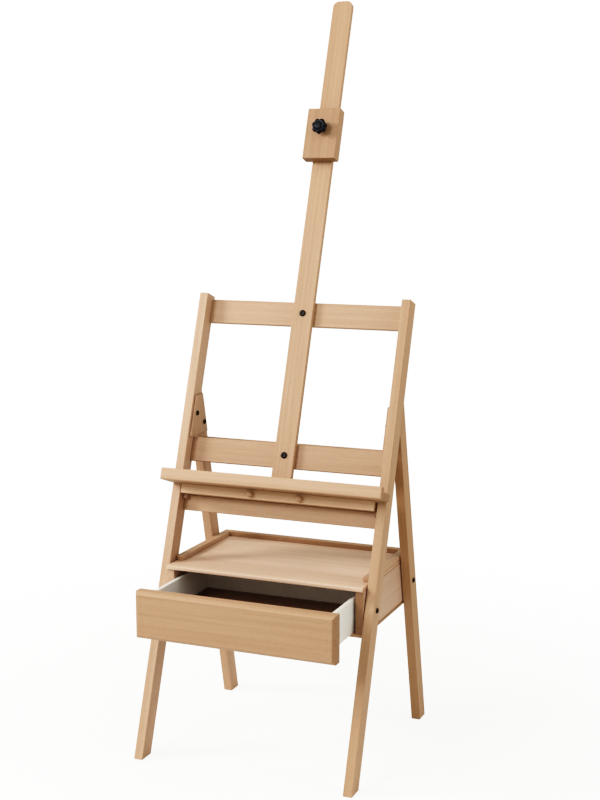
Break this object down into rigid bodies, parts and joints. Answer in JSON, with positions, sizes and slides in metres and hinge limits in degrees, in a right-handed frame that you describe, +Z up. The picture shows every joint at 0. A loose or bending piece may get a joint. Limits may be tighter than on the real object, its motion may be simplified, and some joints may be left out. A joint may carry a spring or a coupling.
{
  "type": "studio easel",
  "caption": "Floor-standing A-frame artist's easel with a mast bar, sliding top canvas clamp, canvas ledge, shallow pencil drawer, tray and open storage drawer.",
  "frame": {"origin": "on the floor, in the middle of the outline seen from above", "axes": "+Z up, -Y towards the front (the side with the drawers), +X to the viewer's right when facing the front"},
  "size_m": [0.572, 0.7002, 1.8282],
  "materials": {
    "beech": "oiled, satin",
    "white_paint": "white painted",
    "hardboard": "dark hardboard, matt",
    "black_plastic": "satin black moulding",
    "black_steel": "blackened",
    "brass": "turned"
  },
  "bodies": {
    "frame": {"front_leg_left": "beech", "front_leg_right": "beech", "back_leg_left": "beech", "back_leg_right": "beech", "drawer_support_rail": "beech", "lower_mast_rail": "beech", "upper_mast_rail": "beech", "back_leg_rail": "beech", "mast_bar": "beech", "ledge_shelf": "beech", "ledge_lip": "beech", "cabinet_bottom": "beech", "tray_board": "beech", "cabinet_side_left": "beech", "cabinet_side_right": "beech", "cabinet_back": "beech", "tray_rim_back": "beech", "tray_rim_left": "beech", "tray_rim_right": "beech", "pencil_runner_left": "beech", "pencil_runner_right": "beech", "pencil_drawer_stop": "beech", "gusset_left": "beech", "gusset_right": "beech", "gusset_screw_front_left": "black_steel", "gusset_screw_front_right": "black_steel", "gusset_screw_back_left": "black_steel", "gusset_screw_back_right": "black_steel", "mast_bolt_lower": "black_steel", "mast_bolt_upper": "black_steel", "ledge_bolt_left": "black_steel", "ledge_bolt_right": "black_steel", "cabinet_bolt_front_left": "black_steel", "cabinet_bolt_front_right": "black_steel", "cabinet_bolt_back_left": "black_steel", "cabinet_bolt_back_right": "black_steel", "cabinet_washer_front_left": "black_steel", "cabinet_washer_front_right": "black_steel", "cabinet_washer_back_left": "black_steel", "cabinet_washer_back_right": "black_steel"},
    "main_drawer": {"drawer_front": "beech", "drawer_side_left": "white_paint", "drawer_side_right": "white_paint", "drawer_back": "white_paint", "drawer_bottom": "hardboard"},
    "pencil_drawer": {"pencil_drawer_front": "beech", "pencil_drawer_bottom": "beech", "pencil_drawer_side_left": "beech", "pencil_drawer_side_right": "beech", "pencil_drawer_back": "beech", "pencil_knob_left": "beech", "pencil_knob_right": "beech"},
    "top_clamp": {"clamp_block": "beech", "clamp_cheek_left": "beech", "clamp_cheek_right": "beech", "clamp_back_plate": "beech", "clamp_insert": "brass"},
    "star_knob": {"star_knob": "black_plastic", "clamp_screw": "black_steel"}
  },
  "joints": [
    {"name": "main_drawer_slide", "type": "slide", "parent": "frame", "child": "main_drawer", "axis": [0, -1, 0], "range_m": [-0.139, 0.09]},
    {"name": "pencil_drawer_slide", "type": "slide", "parent": "frame", "child": "pencil_drawer", "axis": [0, -0.9444, 0.3289], "range_m": [0, 0.045]},
    {"name": "top_clamp_slide", "type": "slide", "parent": "frame", "child": "top_clamp", "axis": [0, 0.3289, 0.9444], "range_m": [-0.35, 0.29]},
    {"name": "star_knob_turn", "type": "hinge", "parent": "top_clamp", "child": "star_knob", "pos_m": [0, 0.19317, 1.50323], "axis": [0, -0.9444, 0.3289], "continuous": true}
  ]
}
